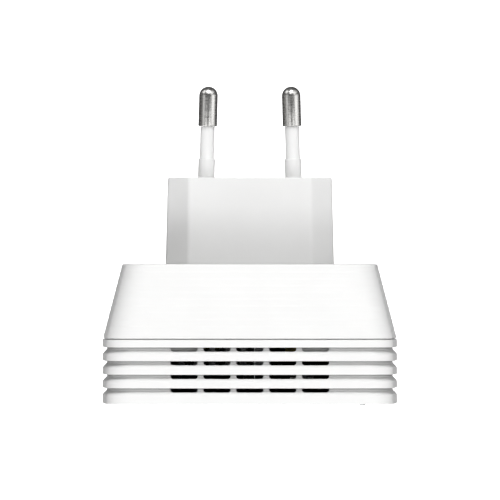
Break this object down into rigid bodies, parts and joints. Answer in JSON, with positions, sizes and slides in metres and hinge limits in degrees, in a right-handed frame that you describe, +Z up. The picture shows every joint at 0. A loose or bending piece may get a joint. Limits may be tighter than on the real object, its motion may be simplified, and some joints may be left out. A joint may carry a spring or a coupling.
{
  "type": "powerline adapter",
  "caption": "Wall-socket powerline network adapter with leaning sleeved plug pins, tapered ribbed rear, stepped vented front cover, network socket and buttons below.",
  "frame": {"origin": "the middle of the plug's face, between the two pins", "axes": "+Y along the pins into the wall socket, +Z up in use towards the vented end, +X to the right of someone facing the front"},
  "size_m": [0.063, 0.068, 0.076],
  "materials": {
    "body_white": "fine satin moulding",
    "plug_grey": "matte light grey moulding",
    "label": "blank printed film",
    "pin_nickel": "satin nickel plate",
    "sleeve_white": "smooth moulded sleeve",
    "contact_brass": "plain sheet brass",
    "contact_gold": "gold flash on phosphor bronze",
    "screw_steel": "zinc plate",
    "board_green": "solder mask over glass fibre",
    "board_blue": "solder mask over glass fibre",
    "fuse_brown": "glazed ceramic tube",
    "disc_blue": "dipped epoxy",
    "film_yellow": "box film part and winding tape",
    "ferrite": "sintered ferrite",
    "copper": "enamelled copper wire",
    "chip_black": "moulded epoxy",
    "capacitor_sleeve": "shrink sleeve over an aluminium can",
    "thermal_pad": "soft silicone pad",
    "heat_sink": "extruded, plain",
    "black_plastic": "moulded glass-filled nylon",
    "jack_steel": "tin-plated sheet",
    "led": "clear resin on a white chip",
    "light_pipe": "frosted clear acrylic",
    "button_white": "satin moulding",
    "button_red": "moulded"
  },
  "bodies": {
    "adapter": {"front_cover": "body_white", "rear_cover": "body_white", "plug_block": "plug_grey", "rating_label": "label", "pin_carrier": "black_plastic", "pin_left": "pin_nickel", "pin_right": "pin_nickel", "sleeve_left": "sleeve_white", "sleeve_right": "sleeve_white", "contact_left": "contact_brass", "contact_right": "contact_brass", "plug_screw_left": "screw_steel", "plug_screw_right": "screw_steel", "power_board": "board_green", "power_board_screw_1": "screw_steel", "power_board_screw_2": "screw_steel", "fuse": "fuse_brown", "varistor": "disc_blue", "filter_capacitor": "film_yellow", "safety_capacitor": "disc_blue", "choke_core": "ferrite", "choke_winding_1": "copper", "choke_winding_2": "copper", "bridge_rectifier": "chip_black", "controller_chip": "chip_black", "output_diode": "chip_black", "bulk_capacitor": "capacitor_sleeve", "output_capacitor": "capacitor_sleeve", "power_transformer_core": "ferrite", "power_transformer_winding": "film_yellow", "coupling_transformer": "chip_black", "network_board": "board_blue", "network_board_screw_1": "screw_steel", "network_board_screw_2": "screw_steel", "modem_chip": "chip_black", "thermal_pad": "thermal_pad", "heat_sink": "heat_sink", "memory_chip": "chip_black", "flash_chip": "chip_black", "clock_crystal": "jack_steel", "power_inductor": "ferrite", "ethernet_transformer": "chip_black", "board_header": "black_plastic", "jack_shield": "jack_steel", "jack_body": "black_plastic", "jack_contacts": "contact_gold", "led_1": "led", "led_2": "led", "led_3": "led", "light_pipe_1": "light_pipe", "light_pipe_2": "light_pipe", "light_pipe_3": "light_pipe", "pair_switch_body": "jack_steel", "reset_switch_body": "jack_steel"},
    "pair_button_body": {"pair_button": "button_white", "pair_switch_plunger": "black_plastic"},
    "reset_body": {"reset_plunger": "button_red"}
  },
  "joints": [
    {"name": "pair_button_press", "type": "slide", "parent": "adapter", "child": "pair_button_body", "axis": [0, 0, 1], "range_m": [0, 0.0005], "stiffness_N_per_m": 600},
    {"name": "reset_press", "type": "slide", "parent": "adapter", "child": "reset_body", "axis": [0, 0, 1], "range_m": [0, 0.0003], "stiffness_N_per_m": 600}
  ]
}
